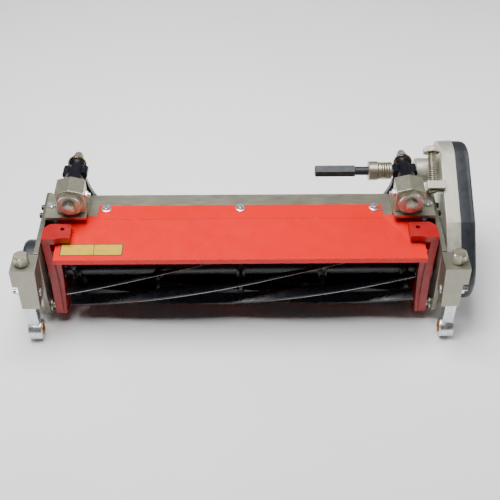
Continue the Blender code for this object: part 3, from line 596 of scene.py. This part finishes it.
def make_height_screw(label, side):
    sections = [
        (30, 3.4, "round"),
        *thread(31, 82, 4.0),
        *rounds((82.3, 4), (82.3, 9.6), (82.5, 10), (84.4, 10), (84.6, 9.6)),
        *hex_head(84.9, 100.4, 10.5, 1.3),
    ]
    lathe(
        f"height_screw_{label}_turned", sections, "Z", (side * SCREW_X, STEM_Y), NICKEL,
        f"screw_{label}", (f"height_screw_{label}",), 72, bevel=0.3,
    )


def socket_screw(bm, side, x, centre):
    """A cap screw's head with its hexagonal socket."""
    radius = 4.6
    sections = [
        *rounds((x, radius), (x + 4.4, radius), (x + 5, radius - 0.6)),
        (x + 5, radius * 0.5, "hex"),
        (x + 2, radius * 0.5, "hex"),
    ]
    turned(bm, flip(side, sections), "X", centre, 36)


def make_side(label, side):
    """One end of the frame: plate, front block, bearing and their fasteners."""
    refined(f"side_plate_{label}", NICKEL_UPRIGHT_SHADED, "frame", 0.8)
    refined(f"front_block_{label}", NICKEL_UPRIGHT_SHADED, "frame", 1.0)
    refined(f"reel_bearing_{label}", STEEL, "frame", 0.8)
    bm = bmesh.new()
    for centre in PLATE_SCREWS:
        socket_screw(bm, side, 321.1, centre)
    piece(f"plate_screws_{label}", bm, BLACK, "frame", (), 0.0)
    refined(f"clamp_bolt_{label}", ZINC, "frame", 0.35)
    stud = [(352.6, 3.4, "round"), *thread(352.7, 357.6, 4.0, 1.2), (358, 3.2, "round")]
    lathe(f"clamp_stud_{label}", flip(side, stud), "X", CLAMP, BLACK, "frame")


def make_pivot(label, side):
    """The bolt that an arm swings on, and the collar that keeps the arm off the side plate."""
    collar = flip(side, rounds((309.3, 11), (312.7, 11), (312.7, 6.3), (309.3, 6.3)))
    lathe(f"pivot_collar_{label}", collar, "X", PIVOT, NICKEL, "frame", (), 48, True, 0.4)
    bolt = [*rounds((288, 5.6), (288.4, 6), (321.3, 6), (321.3, 10)), *hex_head(321.6, 328, 10)]
    lathe(
        f"pivot_bolt_{label}_turned", flip(side, bolt), "X", PIVOT, NICKEL, "frame",
        (f"pivot_bolt_{label}",), 72, bevel=0.25,
    )


def make_spring_rod(label, side):
    """The threaded rod through an arm's fork, with its nuts and its spring."""
    rod = [
        (0, 2.9, "round"),
        *thread(0.5, 8, 3.5, 1.2, 0.45),
        (8.2, 3.5, "round"),
        *hex_head(8.3, 14, 6, 0.6),
        (14, 3.5, "round"),
        *thread(14.5, 40, 3.5, 1.2, 0.45),
        (97.3, 3.5, "round"),
        *hex_head(97.4, 102, 6, 0.6),
    ]
    centre = (side * ROD[0], ROD[1])
    lathe(
        f"spring_rod_{label}_threaded", rod, "Z", centre, ZINC, "frame",
        (f"spring_rod_{label}",), 48,
    )
    bm = bmesh.new()
    wire_tube(bm, helix("Z", centre, (32.3, 73.7), 5.9, 0.95, 8), 0.95)
    piece(f"arm_spring_{label}_wound", bm, ZINC, "frame", (f"arm_spring_{label}",))


for label, side in SIDES:
    make_side(label, side)
    make_height_screw(label, side)
    make_bracket(label, side)
    make_pivot(label, side)
    make_spring_rod(label, side)

refined("cross_plate", NICKEL, "frame", 0.8)
# The rear shield is a black sheet behind the reel that hides the floor seen between the blades: partly a
# grass shield, partly painted shade for the dark inside of the unit.
refined("rear_shield", BLACK, "frame", 0.4)
end_cap = rounds(
    (328.3, 45.2), (329, 46), (346, 46), (349, 45.3), (352, 43),
    (353.6, 39), (354, 34), (354, 14), (354.4, 12), (356, 9.6),
)
lathe("end_cover_turned", flip(-1, end_cap), "X", (0, 0), COVER, "frame", ("end_cover",), 96)

# ---- Bed knife -------------------------------------------------------------------------------------------

KNIFE_SCREWS = 11
KNIFE_SCREW_PITCH = 53.0
KNIFE_SCREW_AT = (36.0, -73.05)
KNIFE_SLOPE = math.atan2(-72.2 + 63.3, 46.0 - 6.0)

# The arms wear the darker red, which is painted shade.
for label, _ in SIDES:
    refined(f"bed_arm_{label}", CAST_RED_SHADED, "bed", 1.5, 3, 24)
refined("bed_bar", BLACK, "bed", 1.4, 3)
refined("bed_knife", STEEL, "bed", 0.15, 1)


def knife_screws():
    """Countersunk screws up through the knife into the bar."""
    sections = [
        (1.6, 2.2, "hex"),
        (-0.45, 2.2, "hex"),
        *rounds((-0.45, 4.9), (0.4, 5.0), (2.6, 3.0)),
    ]
    tilt_down = Matrix.Rotation(KNIFE_SLOPE, 4, "X")
    bm = bmesh.new()
    for i in range(KNIFE_SCREWS):
        x = (i - (KNIFE_SCREWS - 1) / 2) * KNIFE_SCREW_PITCH
        at = Matrix.Translation(Vector((x, *KNIFE_SCREW_AT))) @ tilt_down
        turned(bm, sections, "Z", (0, 0), 36, tilt=at)
    piece("knife_screws", bm, BLACK, "bed", (), 0.0)


knife_screws()

# ---- Cover -----------------------------------------------------------------------------------------------

COVER_BOLT_X = (-218.0, 0.0, 218.0)
COVER_BOLT_Y = 49.0
COVER_EDGE = (-66.0, 76.0)
COVER_SLOPE = (82.3 - 76.0) / (31.7 + 66.0)
PATCH_X = (-282.0, -184.0)
PATCH_Y = (-56.0, -31.0)
PATCH_SPLIT = -229.0
PATCH_BORDER = 1.6

refined("reel_cover", RED, "frame", 0.7, 3)
for index, x in enumerate(COVER_BOLT_X):
    bolt = [
        (68, 2.6, "round"),
        *thread(68.5, 80, 3.0, 1.0, 0.4),
        *rounds((82.6, 3), (82.6, 8.2), (82.9, 8.5), (83.9, 8.4), (84.6, 6.4)),
        *hex_head(84.8, 89.0, 5.5, 0.7),
    ]
    lathe(
        f"cover_bolt_{index + 1}_flanged", bolt, "Z", (x, COVER_BOLT_Y), ZINC, "frame",
        (f"cover_bolt_{index + 1}",), 72, bevel=0.15,
    )


def cover_sheet(name, rectangles, lift, thickness, material):
    """Thin rectangles (x, y, x, y) lying on the cover's slope."""
    front_y, front_z = COVER_EDGE

    def point(corner, height):
        x, y = corner
        return Vector((x, y, front_z + (y - front_y) * COVER_SLOPE + lift + height))

    bm = bmesh.new()
    for x1, y1, x2, y2 in rectangles:
        corners = [(x1, y1), (x2, y1), (x2, y2), (x1, y2)]
        loft(bm, [[point(corner, top) for corner in corners] for top in (0.0, thickness)])
    piece(name, bm, material, "frame", (), 0.0)


def cover_patch():
    """A plain yellow patch in two fields, on a dark border."""
    left, right = PATCH_X
    front, rear = PATCH_Y
    cover_sheet("cover_patch_border", [(left, front, right, rear)], 0.05, 0.15, INK)
    front, rear = front + PATCH_BORDER, rear - PATCH_BORDER
    fields = [
        (left + PATCH_BORDER, front, PATCH_SPLIT - 0.6, rear),
        (PATCH_SPLIT + 0.6, front, right - PATCH_BORDER, rear),
    ]
    cover_sheet("cover_patch", fields, 0.22, 0.12, YELLOW)


cover_patch()

# ---- Adjusters and hangers -------------------------------------------------------------------------------

DIAL_X = 270.0
DIAL_Z = 121.0
BLOCK_HALF_WIDTH = 22.5
BLOCK_MIDDLE_Y = 40.0


def make_dial(label, centre):
    """The knurled wheel on its long screw, with the end nut and its two washers."""
    body = f"dial_{label}"
    wheel = [
        (11, 18.2, "round"),
        (12.2, 20, "knurl"),
        (19.2, 20, "knurl"),
        *rounds((20.4, 18.2), (20.4, 7), (11.3, 7)),
    ]
    lathe(
        f"dial_{label}_knurled", wheel, "Y", centre, POLISHED, body,
        (f"adjuster_dial_{label}",), 160, True, 0.1,
    )
    screw = [
        (2, 7.2, "round"),
        (2.9, 9, "hex"),
        (11.4, 9, "hex"),
        *bar(11.4, 58, 6.5),
        *thread(58.5, 124, 6.4, 1.75, 0.6),
        (124.5, 6.4, "round"),
    ]
    lathe(f"dial_{label}_screw", screw, "Y", centre, POLISHED, body, (), 72, False, 0.2)
    nut = [
        (124.6, 8.8, "round"),
        (124.9, 9, "hex"),
        (135, 9, "hex"),
        *rounds((136, 8.9), (140, 8.7), (144, 7.6), (147, 5.6), (148.6, 3.2), (149, 1)),
    ]
    lathe(f"dial_{label}_nut", nut, "Y", centre, ZINC, body, (), 72, False, 0.2)
    ring = rounds((119.3, 15.5), (122.4, 15.5), (122.4, 6.7), (119.3, 6.7))
    lathe(f"brass_washer_{label}", ring, "Y", centre, BRASS, body, (), 64, True, 0.4)
    ring = rounds((122.5, 11.5), (124.3, 11.5), (124.3, 6.7), (122.5, 6.7))
    lathe(f"steel_washer_{label}", ring, "Y", centre, ZINC, body, (), 64, True, 0.3)


def make_block_screw(label, side):
    """The set screw with its nut in the adjuster block's inner face."""
    start = DIAL_X - BLOCK_HALF_WIDTH
    grub = [
        (start - 0.2, 4.4, "round"),
        (start - 0.5, 5.6, "hex"),
        (start - 4, 5.6, "hex"),
        *rounds((start - 4.4, 5), (start - 4.4, 3), (start - 8, 3), (start - 8.4, 2.5)),
    ]
    centre = (BLOCK_MIDDLE_Y, DIAL_Z)
    grub = flip(side, grub)
    lathe(f"block_screw_{label}", grub, "X", centre, ZINC, "frame", (), 36, False, 0.15)


for label, side in SIDES:
    make_dial(label, (side * DIAL_X, DIAL_Z))
    refined(f"adjuster_block_{label}", NICKEL, "frame", 1.0)
    refined(f"hanger_{label}", BLACK, "frame", 1.2, 3)
    make_block_screw(label, side)

# ---- Drive -----------------------------------------------------------------------------------------------

INPUT = (132.0, 94.0)
CASE = ((0.0, 0.0, 56.0), (*INPUT, 50.0), (14.0, 76.0, 12.0))
TENSION_AT = Vector((314.0, 74.0, 118.0))
TENSION = Matrix.Translation(TENSION_AT) @ Matrix.Rotation(math.atan2(INPUT[1], INPUT[0]), 4, "X")


def case_shell(name, profile, material, nodes):
    """A shell around the case's outline. The profile is (x, distance inwards from the outline)."""
    bm = bmesh.new()
    rings = [[Vector((x, y, z)) for y, z in hull_of(CASE, -inset)] for x, inset in profile]
    loft(bm, rings, bored=True)
    piece(name, bm, material, "frame", nodes, 0.0)


domed = [
    (353.4, 0.6), (355, 0.5), (368, 0.9), (372.5, 1.8), (375.8, 3.8), (378, 7), (378.8, 10.5),
    (379, 14), (379, 46), (375, 46), (375, 14), (373, 8), (369, 5.2), (353.4, 4.8),
]
case_shell("case_cover_domed", domed, COVER, ("case_cover",))
refined("case_back", CAST, "frame", 1.6, 3)
rim = [(346.6, 0.8), (346.6, -0.1), (347.2, -0.6), (352.4, -0.6), (353, -0.1), (353, 0.8)]
case_shell("case_flange", rim, CAST, ())
case_shell("case_gasket", [(353, 0.9), (353, 0.1), (353.4, 0.1), (353.4, 0.9)], RUBBER, ())
cap = rounds(
    (379.3, 19.4), (380, 20), (383, 20), (384.6, 19.2), (385.8, 17), (386.3, 14), (386.3, 6), (385.6, 4.6)
)
lathe("bearing_cap_pressed", cap, "X", (0, 0), COVER, "frame", ("bearing_cap",), 96)
housing = rounds(
    (293, 18.4), (293.6, 19), (295, 21), (318, 21), (322, 21.8),
    (326, 24.5), (328.6, 28), (329.7, 29), (329.7, 10.3), (293, 10.3),
)
lathe(
    "input_housing_cast", housing, "X", INPUT, CAST, "frame", ("input_housing",), 72, True
)
tension = [
    (-20, 5.6, "round"),
    *thread(-19.5, 46, 7.1, 3.2, 1.5),
    (47, 6.8, "round"),
    *hex_head(47, 56, 13, 1.2),
]
lathe(
    "tension_bolt_threaded", tension, "Y", (0, 0), NICKEL, "frame", ("tension_bolt",), 72,
    bevel=0.2, tilt=TENSION,
)
sleeve = rounds(
    (216, 15.2), (216.8, 16), (231.2, 16), (232, 15.2), (232, 9.2), (256.3, 9.2), (256.3, 10),
    (368, 10), (368, 3), (257, 3), (257, 7.5), (216, 7.5),
)
lathe("input_sleeve", sleeve, "X", INPUT, NICKEL, "input", ("input_shaft",), 72, True)
bm = bmesh.new()
wire_tube(bm, helix("X", INPUT, (232.3, 255.7), 12.8, 1.95, 6.5), 1.95, 14)
piece("drive_spring_wound", bm, NICKEL, "input", ("drive_spring",))
drive_hex = [
    (126, 7.6, "round"),
    (127, 8.8, "hex"),
    (193, 8.8, "hex"),
    *rounds((194, 7.8), (194, 7.2), (232, 7.2)),
]
lathe("hex_shaft_drawn", drive_hex, "X", INPUT, COVER, "drive", ("hex_shaft",), 72, bevel=0.35)
for node, material in (("drive_belt", RUBBER), ("reel_pulley", STEEL), ("input_pulley", STEEL)):
    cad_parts[node].data.materials.clear()
    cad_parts[node].data.materials.append(material)

# ---- Stage, light and camera -----------------------------------------------------------------------------

FLOOR_HALF = 9000.0
FLOOR_DEPTH = 10.0
SKY_STRENGTH = (0.12, 1.7)


def make_stage():
    bm = bmesh.new()
    half = FLOOR_HALF
    corners = [(-half, -half), (half, -half), (half, half), (-half, half)]
    heights = (ORIGIN.z - FLOOR_DEPTH, ORIGIN.z)
    loft(bm, [[Vector((x, y, z)) for x, y in corners] for z in heights])
    bmesh.ops.recalc_face_normals(bm, faces=bm.faces)
    bm.transform(TO_WORLD)
    mesh = bpy.data.meshes.new("floor")
    bm.to_mesh(mesh)
    bm.free()
    floor = bpy.data.objects.new("floor", mesh)
    bpy.context.scene.collection.objects.link(floor)
    mesh.materials.append(plain_finish("floor_paint", (0.98, 0.98, 0.98), 0.9, 0.0, 4))


def area_light(name, place, target, size, power):
    data = bpy.data.lights.new(name, "AREA")
    data.shape = "RECTANGLE"
    data.size, data.size_y = size
    data.energy = power
    lamp = bpy.data.objects.new(name, data)
    lamp.location = place
    lamp.rotation_euler = (Vector(target) - Vector(place)).to_track_quat("-Z", "Y").to_euler()
    bpy.context.scene.collection.objects.link(lamp)


def studio_sky():
    """A pale dome, brightest overhead and behind the object, and dimmer in front of it."""
    world = bpy.data.worlds.new("studio")
    bpy.context.scene.world = world
    world.use_nodes = True
    tree = world.node_tree
    place = tree.nodes.new("ShaderNodeTexCoord")
    split = tree.nodes.new("ShaderNodeSeparateXYZ")
    tree.links.new(place.outputs["Generated"], split.inputs["Vector"])
    both = tree.nodes.new("ShaderNodeMath")
    both.operation = "MULTIPLY_ADD"
    both.inputs[1].default_value = 0.6
    tree.links.new(split.outputs["Y"], both.inputs[0])
    tree.links.new(split.outputs["Z"], both.inputs[2])
    ramp = tree.nodes.new("ShaderNodeMapRange")
    low, high = SKY_STRENGTH
    for key, number in (("From Min", -0.4), ("From Max", 0.9), ("To Min", low), ("To Max", high)):
        ramp.inputs[key].default_value = number
    tree.links.new(both.outputs["Value"], ramp.inputs["Value"])
    tree.links.new(ramp.outputs["Result"], tree.nodes["Background"].inputs["Strength"])


make_stage()
studio_sky()
area_light("key", (-0.35, 0.0, 1.9), (0, 0, 0.1), (1.3, 1.3), 80)
area_light("side", (1.6, 0.5, 1.1), (0, 0, 0.1), (0.9, 0.9), 14)

lens = bpy.data.cameras.new("camera")
lens.lens = 68.54
lens.sensor_width = 36.0
camera = bpy.data.objects.new("camera", lens)
camera.location = (-0.00945, -1.1828, 1.1659)
camera.rotation_euler = (math.radians(47.384), 0.0, math.radians(-0.531))
bpy.context.scene.collection.objects.link(camera)
bpy.context.scene.camera = camera
